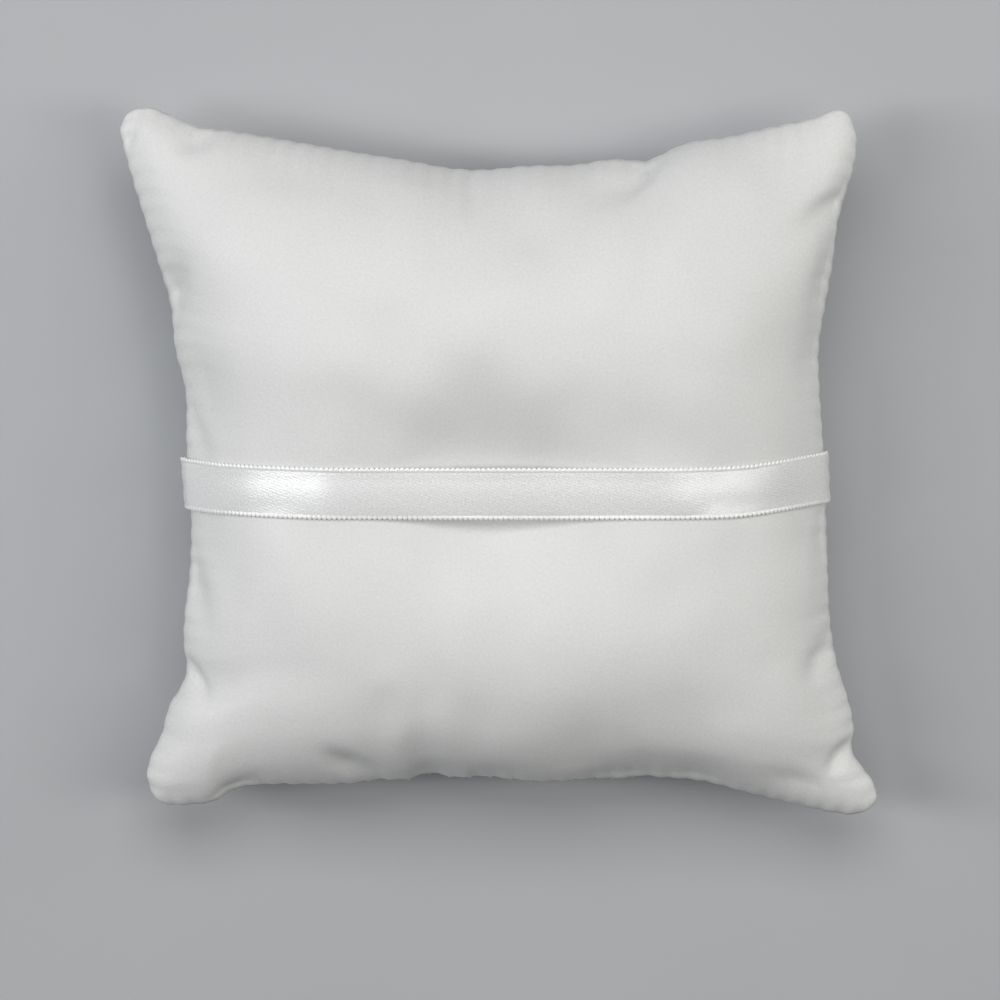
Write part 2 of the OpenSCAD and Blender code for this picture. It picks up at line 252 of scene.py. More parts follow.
def facePoints(u, v, side):
    # the crown rises from the rim as a flattened dome, less a dip at the tuft and, on the back, a bell-shaped
    # valley under the strap, or on the front a trough for the ties
    plan = planOf(u, v)
    c = (np.clip(1 - np.abs(u[None, :]) ** pillow["crownPower"], 0, 1)
         * np.clip(1 - np.abs(v[:, None]) ** pillow["crownPower"], 0, 1)) ** pillow["edgePower"]
    away = np.hypot(plan[..., 0] - tuftX, plan[..., 1] - tuftY)
    if side > 0:
        aside = plan[..., 1] - strapY
        rise = (pillow["backRise"]
                - pillow["backTuft"] * np.exp(-((away / pillow["backReach"]) ** pillow["backPower"]))
                - pillow["valley"] * np.exp(-((aside / np.where(aside > 0, *pillow["valleyReach"])) ** 2)))
        z = seamZ + pillow["rimHeight"] + c * rise
    else:
        lane = tuftY / (pillow["flatHeight"] / 2 - pillow["drawnIn"])
        rise = (pillow["frontRise"]
                - pillow["frontTuft"] * np.exp(-((away / pillow["frontReach"]) ** pillow["frontPower"]))
                - pillow["trough"] * np.exp(-(((v[:, None] - lane) / pillow["troughShare"]) ** 2)))
        z = seamZ - pillow["rimHeight"] - c * rise
    return np.concatenate([plan, z[..., None]], axis=-1)


# the cloth, blown up and let settle
cloth = {"pressure": 120.0, "tension": 12.0, "bending": 0.2, "frames": 30, "cap": 3.5, "quality": 6,
         "mass": 0.3, "air": 1.0, "damping": 5.0, "tuftHold": 2.6, "easeTimes": 2}


def settleCloth():
    # both panels share the rim; the cloth's rest shape is the flat cut, so slack shows as folds
    across, up = pillow["simAcross"], pillow["simUp"]
    u, v = np.linspace(-1, 1, across), np.linspace(-1, 1, up)
    back, front = facePoints(u, v, 1), facePoints(u, v, -1)
    rim = np.ones((up, across), bool)
    rim[1:-1, 1:-1] = False
    back[rim, 2] = seamZ
    index = np.arange(across * up).reshape(up, across)
    inner = index.copy()
    inner[~rim] = across * up + np.arange((~rim).sum())
    start = np.concatenate([back.reshape(-1, 3), front[~rim]])
    flat = np.stack(np.broadcast_arrays(u[None] * pillow["flatWidth"] / 2,
                                        v[:, None] * pillow["flatHeight"] / 2, 0 * u[None]), -1)
    flatAll = np.concatenate([flat.reshape(-1, 3), flat[~rim]])
    piece = makePiece("settling", start, np.concatenate([quadsOf(index), quadsOf(inner)[:, ::-1]]))
    piece.shape_key_add(name="Basis")
    cut = piece.shape_key_add(name="Flat cut")
    cut.data.foreach_set("co", (flatAll * mm).ravel())
    near = np.hypot(start[:, 0] - tuftX, start[:, 1] - tuftY) < cloth["tuftHold"]
    held = np.concatenate([rim.ravel(), np.zeros((~rim).sum(), bool)]) | near
    pins = piece.vertex_groups.new(name="Held")
    pins.add(np.where(held)[0].tolist(), 1.0, "REPLACE")
    settle = piece.modifiers.new("Settle", "CLOTH")
    values = settle.settings
    for name in ("quality", "mass"):
        setattr(values, name, cloth[name])
    for name in ("tension", "compression"):
        setattr(values, name + "_stiffness", cloth["tension"])
    values.shear_stiffness = cloth["tension"] / 3
    values.bending_stiffness = cloth["bending"]
    for name in ("tension", "compression", "shear"):
        setattr(values, name + "_damping", cloth["damping"])
    values.air_damping = cloth["air"]
    values.use_pressure = True
    values.uniform_pressure_force = cloth["pressure"]
    values.vertex_group_mass = "Held"
    values.rest_shape_key = cut
    values.effector_weights.gravity = 0
    settle.collision_settings.use_collision = False
    settle.point_cache.frame_start = 1
    settle.point_cache.frame_end = cloth["frames"] + 1
    scene = bpy.context.scene
    for step in range(1, cloth["frames"] + 1):
        scene.frame_set(step)
    shape = piece.evaluated_get(bpy.context.evaluated_depsgraph_get()).to_mesh()
    got = np.empty(len(shape.vertices) * 3)
    shape.vertices.foreach_get("co", got)
    got = got.reshape(-1, 3) / mm
    scene.frame_set(1)
    bpy.data.objects.remove(piece, do_unlink=True)
    move = got - start
    far = np.linalg.norm(move, axis=1)
    most, average = round(float(far.max()), 2), round(float(far.mean()), 2)
    print("cloth moved", most, "mm at most,", average, "mm on average")
    move *= (np.minimum(far, cloth["cap"]) / np.maximum(far, 1e-6))[:, None]
    backMove = move[: across * up].reshape(up, across, 3)
    frontMove = np.zeros_like(backMove)
    frontMove[~rim] = move[across * up:]
    backMove[rim] = 0
    return eased(backMove), eased(frontMove)


def eased(grid):
    # each point becomes the mean of itself and its neighbours, which keeps folds and drops facets
    for _ in range(cloth["easeTimes"]):
        wide = np.pad(grid, ((1, 1), (1, 1), (0, 0)), mode="edge")
        grid = (2 * grid + wide[:-2, 1:-1] + wide[2:, 1:-1] + wide[1:-1, :-2] + wide[1:-1, 2:]) / 6
    return grid


backMove, frontMove = settleCloth()
print("cloth settled")


# both faces in full detail
def closer(count):
    # even steps, drawn together towards the rim
    w = np.linspace(-1, 1, count)
    return pillow["evenShare"] * w + (1 - pillow["evenShare"]) * np.sin(np.pi / 2 * w)


seam = {"pitch": 4.0, "scallop": 0.19, "scallopReach": 1.2, "pucker": 0.3, "puckerReach": 5.5,
        "puckerStart": 0.8, "sharpness": 3, "leastDraw": 0.2, "meanWave": 0.4,
        "strengths": (0.45, 1.0), "draws": 64}

humps = {"count": 260, "height": 0.24, "widths": (3.2, 9.5), "fullWidth": 6.0, "area": (78, 72), "fade": 6.0,
         "backSeed": 11, "frontSeed": 23}

# dents pressed into the back: place, direction in degrees, half length, half width and depth
dents = [
    ((-65.8, 35.0), 72, 5.6, 2.7, 1.6),
    ((-61.2, 6.5), 109, 5.5, 2.0, 0.8),
    ((-62.0, -1.0), 60, 3.0, 2.2, 0.5),
    ((66.0, 51.5), 28, 6.0, 2.6, 1.4),
    ((65.4, 37.0), 80, 7.0, 3.0, 1.2),
    ((63.0, 22.0), 82, 7.0, 3.0, 0.8),
    ((27.8, 57.6), 48, 4.2, 1.7, 1.2),
    ((23.5, 56.5), 35, 5.6, 2.8, 0.8),
    ((-61.0, 64.8), 20, 3.6, 2.0, 0.9),
    ((-42.0, 58.0), -8, 9.0, 3.4, 0.45),
    ((-5.6, 54.5), 85, 4.0, 1.9, 0.5),
    ((-61.6, -43.6), -58, 3.6, 1.5, 1.5),
    ((-61.6, -25.0), -78, 6.5, 2.5, 1.1),
    ((-30.4, -61.0), -32, 5.0, 2.4, 1.6),
    ((-54.0, -67.6), 32, 5.0, 2.4, 1.2),
    ((-14.0, -63.6), 8, 5.0, 3.0, 0.9),
    ((-1.0, -64.2), 0, 6.0, 3.0, 0.7),
    ((24.0, -64.4), 8, 7.0, 4.0, 1.2),
    ((39.0, -64.4), -12, 7.0, 4.2, 1.2),
    ((65.2, -39.2), 57, 4.2, 2.6, 1.5),
    ((65.6, -15.5), 86, 7.0, 2.5, 0.8),
    ((69.2, -59.8), 54, 3.2, 1.6, 1.5),
    ((60.5, -64.5), -14, 7.0, 3.0, 0.7),
    ((-74.4, 65.2), 70, 2.8, 1.1, 0.6),
]


def pressIn(points, normals):
    # each dent is a hollow that fades as a bell curve along and across its direction
    depth = np.zeros(points.shape[:2])
    for (x, y), turn, long, wide, deep in dents:
        c, s = math.cos(math.radians(turn)), math.sin(math.radians(turn))
        dx, dy = points[..., 0] - x, points[..., 1] - y
        a, b = (dx * c + dy * s) / long, (-dx * s + dy * c) / wide
        depth += deep * np.exp(-(a**2) - b**2)
    return points - normals * (depth * nearRim(pillow["dentFade"]))[..., None]


def nearRim(reach):
    # 0 on the rim, rising evenly to 1 at the given distance inside it
    u, v = closer(pillow["acrossCount"]), closer(pillow["upCount"])
    away = np.minimum((1 - np.abs(u))[None] * pillow["flatWidth"] / 2,
                      (1 - np.abs(v))[:, None] * pillow["flatHeight"] / 2)
    return np.clip(away / reach, 0, 1)


def softHumps(points, normals, seed):
    # the fill is never quite even: many low bell-shaped humps and hollows at random places
    draw = np.random.default_rng(seed)
    count, (halfX, halfY) = humps["count"], humps["area"]
    shape = np.zeros(points.shape[:2])
    x, y = draw.uniform(-halfX, halfX, count), draw.uniform(-halfY, halfY, count)
    wide, tall = draw.uniform(*humps["widths"], count), draw.normal(0, humps["height"], count)
    for k in range(count):
        away = (points[..., 0] - x[k]) ** 2 + (points[..., 1] - y[k]) ** 2
        shape += tall[k] * wide[k] / humps["fullWidth"] * np.exp(-away / wide[k]**2)
    return points + normals * (shape * nearRim(humps["fade"]))[..., None]


def normalsOf(points, side):
    # outward normals of a face, from the steps to its grid's neighbours
    n = np.cross(np.gradient(points, axis=1), np.gradient(points, axis=0)) * side
    return n / np.maximum(np.linalg.norm(n, axis=2), 1e-9)[..., None]


def puckers(u, v, points, normals, side):
    # every stitch draws the rim in a little and starts a short groove that runs into the face
    result = points.copy()
    draws = seam["draws"]
    strength = dice.uniform(*seam["strengths"], draws)
    halves = pillow["flatWidth"] / 2, pillow["flatHeight"] / 2
    plan = np.broadcast_to(u[None, :], points.shape[:2]), np.broadcast_to(v[:, None], points.shape[:2])
    for axis in (0, 1):
        stitch = (plan[axis] + 1) * halves[axis] / seam["pitch"]
        wave = np.abs(np.cos(np.pi * stitch)) ** seam["sharpness"]
        number = np.clip(np.round(stitch).astype(int), 0, draws - 1)
        for end in (-1, 1):
            distance = (1 - end * plan[1 - axis]) * halves[1 - axis]
            # every side takes the strengths in an order of its own
            own = strength[(number * 7 + (3 if end > 0 else 11)) % draws]
            groove = seam["pucker"] * own * wave * np.exp(-distance / (seam["puckerReach"] * own))
            groove *= np.clip(distance / seam["puckerStart"], 0, 1)
            result -= normals * groove[..., None]
            drawIn = seam["scallop"] * (own + seam["leastDraw"]) * (wave - seam["meanWave"])
            drawIn *= np.exp(-distance / seam["scallopReach"])
            inward = np.zeros_like(result)
            inward[..., 1 - axis] = -end
            result += inward * drawIn[..., None]
    return result


def finishFace(side, move):
    # a face with the settled cloth's movement, humps, dents and puckers laid over it in turn
    u, v = closer(pillow["acrossCount"]), closer(pillow["upCount"])
    points = facePoints(u, v, side)
    carry = blendMatrix(pillow["simUp"], v), blendMatrix(pillow["simAcross"], u)
    settled = np.einsum("ai,bj,ijk->abk", carry[0], carry[1], move)
    away = np.hypot(points[..., 0] - tuftX, points[..., 1] - tuftY)
    points += settled * (1 - np.exp(-((away / pillow["calmReach"]) ** 2)))[..., None]
    normals = normalsOf(points, side)
    points = softHumps(points, normals, humps["backSeed"] if side > 0 else humps["frontSeed"])
    if side > 0:
        points = pressIn(points, normals)
    points = puckers(u, v, points, normals, side)
    if side > 0:
        points[..., 2] = np.maximum(points[..., 2], seamZ + pillow["rimHeight"])
    else:
        # the weight of the pillow presses the lowest part flat, with a soft turn into it
        soft, floorGap = pillow["pressSoft"], pillow["floorGap"]
        points[..., 2] = soft * np.logaddexp(0, (points[..., 2] - floorGap) / soft) + floorGap
        points[..., 2] = np.minimum(points[..., 2], seamZ - pillow["rimHeight"])
    return u, v, points


faceU, faceV, backFace = finishFace(1, backMove)
faceU, faceV, frontFace = finishFace(-1, frontMove)
frontFace[[0, -1], :, :2] = backFace[[0, -1], :, :2]
frontFace[:, [0, -1], :2] = backFace[:, [0, -1], :2]
print("faces worked out", backFace.shape)


def rimOf(grid):
    # the grid's edge, once round, from the lower left corner
    return np.concatenate([grid[0, :-1], grid[:-1, -1], grid[-1, :0:-1], grid[:0:-1, 0]])


def inwardOf(rim):
    # unit steps in plan towards the inside, square to the rim and evened out along it
    along = np.roll(rim[:, :2], -2, axis=0) - np.roll(rim[:, :2], 2, axis=0)
    along /= np.maximum(np.linalg.norm(along, axis=1), 1e-6)[:, None]
    inward = smoothRound(np.stack([-along[:, 1], along[:, 0]], axis=1), pillow["evenRounds"])
    return inward / np.linalg.norm(inward, axis=1)[:, None]


def makePanel(name, face, side):
    # the face, then rings that turn its edge over and carry the allowance inwards, level, at the seam
    rows, cols = face.shape[:2]
    ids = np.arange(rows * cols).reshape(rows, cols)
    rim, rimIds = rimOf(face), rimOf(ids)
    inward = inwardOf(rim)
    flatX = np.broadcast_to(faceU[None] * pillow["flatWidth"] / 2, (rows, cols))
    flatY = np.broadcast_to(faceV[:, None] * pillow["flatHeight"] / 2, (rows, cols))
    uv = np.stack([flatX, flatY], -1)
    rimUv = rimOf(uv)
    rings, uvs = [face.reshape(-1, 3)], [uv.reshape(-1, 2)]
    # each ring's distance in from the rim, and its height off the seam
    turns = [(pillow["rimInset"] / 2, (pillow["rimHeight"] + pillow["foldHeight"]) / 2 - 0.06),
             (pillow["rimInset"], pillow["foldHeight"]), (2.5, pillow["foldHeight"]),
             (pillow["allowance"], pillow["foldHeight"])]
    for inset, height in turns:
        level = np.full(len(rim), seamZ + side * height)
        rings.append(np.column_stack([rim[:, :2] + inward * inset, level]))
        uvs.append(rimUv - inward * inset)
    count = len(rim)
    strips = []
    previous = rimIds
    for k in range(len(turns)):
        current = rows * cols + k * count + np.arange(count)
        quads = np.stack([previous, current, np.roll(current, -1), np.roll(previous, -1)], axis=1)
        strips.append(quads)
        previous = current
    body = gridFaces(rows, cols)
    quads = np.concatenate([body] + strips)
    if side < 0:
        quads = quads[:, ::-1]
    piece = makePiece(name, np.concatenate(rings), quads, np.concatenate(uvs))
    giveThickness(piece, pillow["clothThickness"])
    return piece


backPanel = makePanel("back_panel_cloth", backFace, 1)
frontPanel = makePanel("front_panel_cloth", frontFace, -1)
print("panels made")


# fibre fill
fill = {"inset": 0.8, "drawIn": 2.2, "lumps": 0.25, "leastHalf": 0.7, "edgeShare": 0.02,
        "across": 90, "up": 86}


def makeFill():
    # both faces drawn in towards the middle by a small share and joined round the edge, with a lumpy skin
    takeU = np.linspace(0, pillow["acrossCount"] - 1, fill["across"]).astype(int)[1:-1]
    takeV = np.linspace(0, pillow["upCount"] - 1, fill["up"]).astype(int)[1:-1]
    faces = []
    for face, side in ((backFace, 1), (frontFace, -1)):
        g = face[np.ix_(takeV, takeU)].copy()
        edge = np.minimum.outer(1 - np.abs(faceV[takeV]), 1 - np.abs(faceU[takeU]))
        g[..., :2] *= 1 - fill["drawIn"] * fill["inset"] / (pillow["flatWidth"] / 2)
        g[..., 2] -= side * (fill["inset"] + fill["lumps"] * dice.random(g.shape[:2]))
        least = fill["leastHalf"]
        g[..., 2] = np.where(side * (g[..., 2] - seamZ) < least, seamZ + side * least, g[..., 2])
        g[..., :2] *= (1 - fill["edgeShare"] * np.exp(-edge / fill["edgeShare"]))[..., None]
        faces.append(g)
    rows, cols = faces[0].shape[:2]
    count = rows * cols
    ids = np.arange(count).reshape(rows, cols)
    top, low = rimOf(ids), rimOf(ids) + count
    side = np.stack([top, low, np.roll(low, -1), np.roll(top, -1)], axis=1)
    quads = np.concatenate([gridFaces(rows, cols), gridFaces(rows, cols, flip=True) + count, side])
    return makePiece("fibre_fill_core", np.stack(faces), quads)


fillPiece = makeFill()


# hand strap
strap = {"width": 10.2, "thickness": 0.28, "lift": 0.22, "proudLeft": 1.15, "proudRight": 0.75, "tab": 6.0,
         "toothPitch": 1.0, "toothReach": 0.6, "toothHeight": 0.16, "toothPower": 1.2, "selvedge": 4.42,
         "rightShift": 1.3, "shiftStart": 44, "shiftLength": 22,  # it lies askew towards its right end
         "turnTop": 1.6, "turnKnee": 0.8, "turnFoot": 0.15, "turnRound": 0.35, "turnIn": 0.6,
         "crispTo": 0.4, "crispFade": 2.5, "slide": 9,  # softening may slide a point along, but not down
         "proudFade": 6.0, "soften": 1.6, "droop": 0.5, "ripple": 0.08, "ripplePace": 37, "rippleLean": 0.4,
         "columns": 1480, "pathPoints": 900, "span": 80, "spanPoints": 801, "cuts": 7}


def lineAcross(face, y):
    # where the face is cut at one y: x and z along the cut, for every column of the grid
    columns = face.swapaxes(0, 1)
    return np.stack([[np.interp(y, column[:, 1], column[:, k]) for k in (0, 2)] for column in columns])


def taut(x, z, steps=1441):
    # the tightest line over the cut: the lowest of all straight lines that lie above it everywhere
    slopes = np.tan(np.linspace(-1.55, 1.55, steps))
    above = np.max(z[None] - slopes[:, None] * x[None], axis=1)
    return np.min(above[:, None] + slopes[:, None] * x[None], axis=0)


def rounded(path, reach):
    # each point becomes the bell-weighted mean of its neighbours along the path, so corners turn softly
    step = np.linalg.norm(path[1] - path[0])
    offsets = np.arange(-int(3 * reach / step), int(3 * reach / step) + 1)
    weights = np.exp(-0.5 * (offsets * step / reach) ** 2)
    last = len(path) - 1
    at = np.arange(len(path))[:, None] + offsets[None]
    wide = path[np.clip(at, 0, last)]  # past its ends the path goes on straight
    wide = wide + np.minimum(at, 0)[..., None] * (path[1] - path[0])
    wide = wide + np.maximum(at - last, 0)[..., None] * (path[-1] - path[-2])
    return (wide * weights[None, :, None]).sum(1) / weights.sum()


def strapPath(y, tall=None):
    # from the tab in the left seam, out and up round the edge, tightly over the back, and down to the right
    cut = lineAcross(backFace, y)
    x, z = cut[:, 0], cut[:, 1] if tall is None else np.maximum(cut[:, 1], tall(cut[:, 0]))
    line = taut(x, z)
    body = np.stack([x, line], axis=1)[1:-1]
    along = np.gradient(body, axis=0)
    along /= np.linalg.norm(along, axis=1)[:, None]
    outward = np.stack([-along[:, 1], along[:, 0]], axis=1)
    low = np.exp(-(line[1:-1] - seamZ) / strap["proudFade"])
    away = strap["lift"] + np.where(x[1:-1] < 0, strap["proudLeft"], strap["proudRight"]) * low
    body = body + outward * away[:, None]
    body = body[body[:, 1] > seamZ + strap["turnTop"]]
    left, right = cut[0, 0] - strap["proudLeft"], cut[-1, 0] + strap["proudRight"]
    knee, foot, inside = seamZ + strap["turnKnee"], seamZ + strap["turnFoot"], strap["turnIn"]
    start = [(cut[0, 0] + strap["tab"], seamZ), (cut[0, 0] + inside, seamZ),
             (left + strap["turnRound"], foot), (left, knee)]
    end = [(right, knee), (right - strap["turnRound"], foot),
           (cut[-1, 0] - inside, seamZ), (cut[-1, 0] - strap["tab"], seamZ)]
    path = evenly(np.concatenate([start, body, end]), strap["pathPoints"])
    soft = rounded(path, strap["soften"])
    # the tabs stay in the seam, and the turn stays crisp close to it
    blend = np.clip((path[:, 1:] - seamZ - strap["crispTo"]) / strap["crispFade"], 0, 1)
    return path * (1 - blend) + np.maximum(soft, path - [strap["slide"], 0]) * blend


def makeStrap():
    # a flat ribbon carried along tight lines over the back, its edges worked into small rounded loops
    half = strap["width"] / 2
    cuts = [lineAcross(backFace, y) for y in strapY + np.linspace(-half, half, strap["cuts"])]
    places = np.linspace(-strap["span"], strap["span"], strap["spanPoints"])
    farBelow = -500  # beyond its ends a cut holds nothing up
    highest = np.max([taut(places, np.interp(places, cut[:, 0], cut[:, 1], farBelow, farBelow))
                      for cut in cuts], axis=0)
    columns = strap["columns"]
    edge = strap["selvedge"]
    offsets = np.array([-half, -half + 0.1, -half + 0.2, -edge, -4.2, -3.2, -2.1, -1, 0,
                        1, 2.1, 3.2, 4.2, edge, half - 0.2, half - 0.1, half])
    bead = {0: (1.0, 0.0), 1: (0.72, 0.8), 2: (0.3, 1.0)}  # share of the loop's reach and of its height
    s = np.linspace(0, 1, columns)
    middle = evenly(strapPath(strapY), columns)
    length = np.linalg.norm(np.diff(middle, axis=0), axis=1).sum()
    tooth = np.abs(np.sin(np.pi * s * length / strap["toothPitch"])) ** strap["toothPower"]
    rows, uvs, edges = [], [], []
    for k, w in enumerate(offsets):
        ring = min(k, len(offsets) - 1 - k)
        share = abs(w) / half
        droop = strap["droop"] * share**2
        path = strapPath(strapY + w, lambda x: np.interp(x, places, highest) - droop)
        path = evenly(path, columns)
        reach, lift = np.full(columns, w), np.zeros(columns)
        if ring in bead:
            out, high = bead[ring]
            reach = math.copysign(1, w) * (edge + 0.03 * (3 - ring) + strap["toothReach"] * tooth * out)
            lift = strap["toothHeight"] * tooth * high
        shift = np.clip((path[:, 0] - strap["shiftStart"]) / strap["shiftLength"], 0, 1)
        shift = strap["rightShift"] * shift**2 * (3 - 2 * shift)
        ripple = strap["ripple"] * np.sin(s * strap["ripplePace"] + w * strap["rippleLean"]) * share**2
        rows.append(np.stack([path[:, 0], strapY + reach + shift, path[:, 1] + ripple + lift], axis=1))
        uvs.append(np.stack([s * length, reach], axis=1))
        # rows in the picot loops are marked, for the ribbon material to paint lighter as a painted highlight
        edges.append(np.full(columns, 1.0 if ring in bead else 0.0))
    print("strap length", round(float(length), 1), "mm")
    piece = makePiece("hand_strap_ribbon", np.stack(rows), gridFaces(len(offsets), columns), np.stack(uvs),
                      {"picotPaintedHighlight": np.stack(edges)}, crispRim=True)
    giveThickness(piece, strap["thickness"], 1.0)
    return piece, length


strapPiece, strapLength = makeStrap()
print("strap made")


# ribbon bow and ring ties, under the front
bow = {"width": 6.0, "thickness": 0.25, "loopLength": 15.0, "loopHeight": 1.9, "clear": 0.45,
       "throat": 0.42, "widenOver": 7, "widenPower": 0.7, "offFloor": 0.5, "nearEdge": 2.6,
       "pleat": 0.22, "pleatReach": 3.0, "knotPower": 0.75, "slant": 2.4, "curvePoints": 200, "tiePoints": 90}


def bandPiece(name, path, across, width, lifts=None, rows=9, ends=None):
    # a ribbon: the path widened both ways along the across direction, with pleats where lifts says
    t = np.linspace(-0.5, 0.5, rows)
    n = len(path)
    width = np.broadcast_to(width, (n,))
    grid = path[None] + t[:, None, None] * width[None, :, None] * across[None]
    if ends is not None:
        shift = np.linspace(0, 1, n) ** 6
        along = path[-1] - path[-6]
        along = along / np.linalg.norm(along)
        grid = grid + shift[None, :, None] * (ends(t))[:, None, None] * along
    if lifts is not None:
        grid[..., 2] += lifts(t[:, None], np.linspace(0, 1, n)[None])
    step = np.concatenate([[0], np.cumsum(np.linalg.norm(np.diff(path, axis=0), axis=1))])
    uv = np.stack(np.broadcast_arrays(step[None], t[:, None] * width[None]), -1)
    piece = makePiece(name, grid, gridFaces(rows, n), uv)
    giveThickness(piece, bow["thickness"], 0.0)
    return piece


def clothUnder(x, y):
    # height of the front's cloth over the places x along the line at y
    cut = lineAcross(frontFace, y)
    return np.interp(x, cut[:, 0], cut[:, 1])


def makeLoops():
    # each loop leaves the knot against the cloth, turns over at its end and comes back below
    knotZ = (knotLow[2] + knotHigh[2]) / 2
    a = np.linspace(0, 2 * np.pi, 121)
    rows = []
    for side in (-1, 1):
        out = bow["loopLength"] * (1 - np.cos(a)) / 2
        x = tuftX + side * out
        sag = np.minimum(clothUnder(x, tuftY - bow["nearEdge"]), clothUnder(x, tuftY + bow["nearEdge"]))
        middle = np.minimum(sag - bow["clear"] - bow["loopHeight"] / 2, knotZ)
        middle = np.maximum(middle, bow["offFloor"] + bow["loopHeight"] / 2)
        z = middle + bow["loopHeight"] / 2 * np.sin(a) * np.abs(np.sin(a / 2)) ** 1.2
        rows.append(np.stack([x, tuftY + 0 * x, z], axis=1)[:: side])
    path = np.concatenate([rows[1], rows[0][::-1][1:]])
    reach = np.abs(path[:, 0] - tuftX)
    widening = np.clip(reach / bow["widenOver"], 0, 1) ** bow["widenPower"]
    width = bow["width"] * (bow["throat"] + (1 - bow["throat"]) * widening)
    across = np.broadcast_to([0.0, 1.0, 0.0], path.shape)
    evenSteps = np.linspace(0, 1, len(reach))

    def pleat(t, s):
        # three gathers across the ribbon, which fade away from the knot
        away = np.interp(s, evenSteps, reach)
        return bow["pleat"] * np.cos(6 * np.pi * t) * np.exp(-away / bow["pleatReach"])

    return bandPiece("bow_loops_ribbon", path, across, width, pleat, rows=13)


def makeKnot():
    # a gathered band round the middle of the bow: a flattened ring with soft pleats along its width
    low, high = knotLow, knotHigh
    a = np.linspace(0, 2 * np.pi, 73)[:-1]
    centre = (low + high) / 2
    halfY, halfZ = (high[1] - low[1]) / 2 * 0.62, (high[2] - low[2]) / 2 - 0.1
    t = np.linspace(-0.5, 0.5, 15)
    swell = 1 - 0.25 * (2 * np.abs(t)) ** 3 + 0.05 * np.cos(t * 4 * np.pi)
    power = bow["knotPower"]
    y = centre[1] + np.sign(np.cos(a)) * np.abs(np.cos(a)) ** power * halfY * swell[:, None]
    z = centre[2] + np.sign(np.sin(a)) * np.abs(np.sin(a)) ** power * halfZ * swell[:, None]
    x = centre[0] + t[:, None] * (high[0] - low[0]) + 0 * a[None]
    uv = np.stack(np.broadcast_arrays(a[None] * 3, t[:, None] * 5), -1)
    faces = gridFaces(len(t), len(a), around=True, flip=True)
    piece = makePiece("bow_knot_ribbon", np.stack([x, y, z], -1), faces, uv)
    giveThickness(piece, bow["thickness"], -1.0)
    return piece


def makeTie(name, side, low, high, bend):
    # from under the bow down to the table, then out along the trough, cut off slantwise at its end
    out = high[0] - tuftX if side > 0 else tuftX - low[0]
    drop = high[2]
    # the points it passes: out from the tuft, aside, and height
    knots = [(0.7, 0, drop - 0.4), (2.4, 0.0, drop - 0.7), (3.6, 0.1 * bend, drop * 0.4),
             (5.5, 0.3 * bend, 0.35), (12, bend, 0.24), (20, 1.6 * bend, 0.26), (28, 1.1 * bend, 0.24),
             (out - 1.5, 0.2 * bend, 0.3)]
    curve = curveThrough([(tuftX + side * x, tuftY + y, z) for x, y, z in knots], bow["curvePoints"])
    path = evenly(curve, bow["tiePoints"])
    along = np.gradient(path, axis=0)
    across = np.cross([0, 0, 1.0], along)
    across /= np.linalg.norm(across, axis=1)[:, None]
    width = bow["width"] * np.clip(0.55 + np.linspace(0, 1, bow["tiePoints"]) * 3, 0, 1)
    return bandPiece(name, path, across, width, rows=9, ends=lambda t: bow["slant"] * t)


loopsPiece = makeLoops()
knotPiece = makeKnot()
tieLeft = makeTie("ring_tie_left_ribbon", -1, tieLeftLow, tieLeftHigh, 1.2)
tieRight = makeTie("ring_tie_right_ribbon", 1, tieRightLow, tieRightHigh, -1.0)
print("bow made")


# threads
thread = {"seamRadius": 0.11, "seamInset": 1.4, "seamPoints": 1100, "seamWave": 0.03,
          "closingRadius": 0.14, "closingCount": 14, "closingReach": 27.0, "closingHeight": 0.62,
          "closingSlant": 0.45, "closingProud": 0.12, "closingSink": 0.22,
         "tuftRadius": 0.22, "tuftSpread": 0.45, "tuftTwist": 3, "barReach": 1.5, "barSlant": 0.12,
         "barProud": 0.42, "barSink": 0.9}


def makeSeamThread():
    # machine stitches: a thread that runs round inside the edge and dips at every stitch
    rim = rimOf(backFace)
    path = rim[:, :2] + inwardOf(rim) * thread["seamInset"]
    path = evenly(np.concatenate([path, path[:1]]), thread["seamPoints"])
    step = np.concatenate([[0], np.cumsum(np.linalg.norm(np.diff(path, axis=0), axis=1))])
    wave = thread["seamWave"] * np.cos(2 * np.pi * step / seam["pitch"])
    return tubes("seam_thread_stitches", [np.column_stack([path, seamZ + wave])], thread["seamRadius"])


def makeClosing():
    # slanted hand stitches across the groove of the bottom side
    bottom = backFace[0]
    paths = []
    t = np.linspace(-1, 1, 9)
    for x in np.linspace(-thread["closingReach"], thread["closingReach"], thread["closingCount"]):
        y = np.interp(x, bottom[:, 0], bottom[:, 1])
        outward = thread["closingProud"] - thread["closingSink"] * (1 - t**2)
        across = thread["closingSlant"] * t
        paths.append(np.stack([x + across, y + outward, seamZ + thread["closingHeight"] * t], axis=1))
    return tubes("closing_stitches_thread", paths, thread["closingRadius"])


def makeTuft():
    # strands drawn down through the fill from a small bar stitch on the back to the bow on the front
    top = float(np.interp(tuftX, *lineAcross(backFace, tuftY).T))
    low = knotHigh[2] - 0.6
    paths = []
    t = np.linspace(-1, 1, 25)
    z = np.linspace(top + 0.2, low, 30)
    for dx in thread["tuftSpread"] * np.array([-1, 0, 1]):
        arch = top + thread["barProud"] - thread["barSink"] * t**4
        slant = thread["barSlant"] * t
        turn = z / thread["tuftTwist"]
        paths.append(np.stack([tuftX + dx + slant, tuftY + thread["barReach"] * t, arch], axis=1))
        paths.append(np.stack([tuftX + dx * np.cos(turn), tuftY + dx * np.sin(turn), z], axis=1))
    return tubes("tuft_thread_strands", paths, thread["tuftRadius"])


seamThread = makeSeamThread()
closingThread = makeClosing()
tuftThread = makeTuft()
print("threads made")


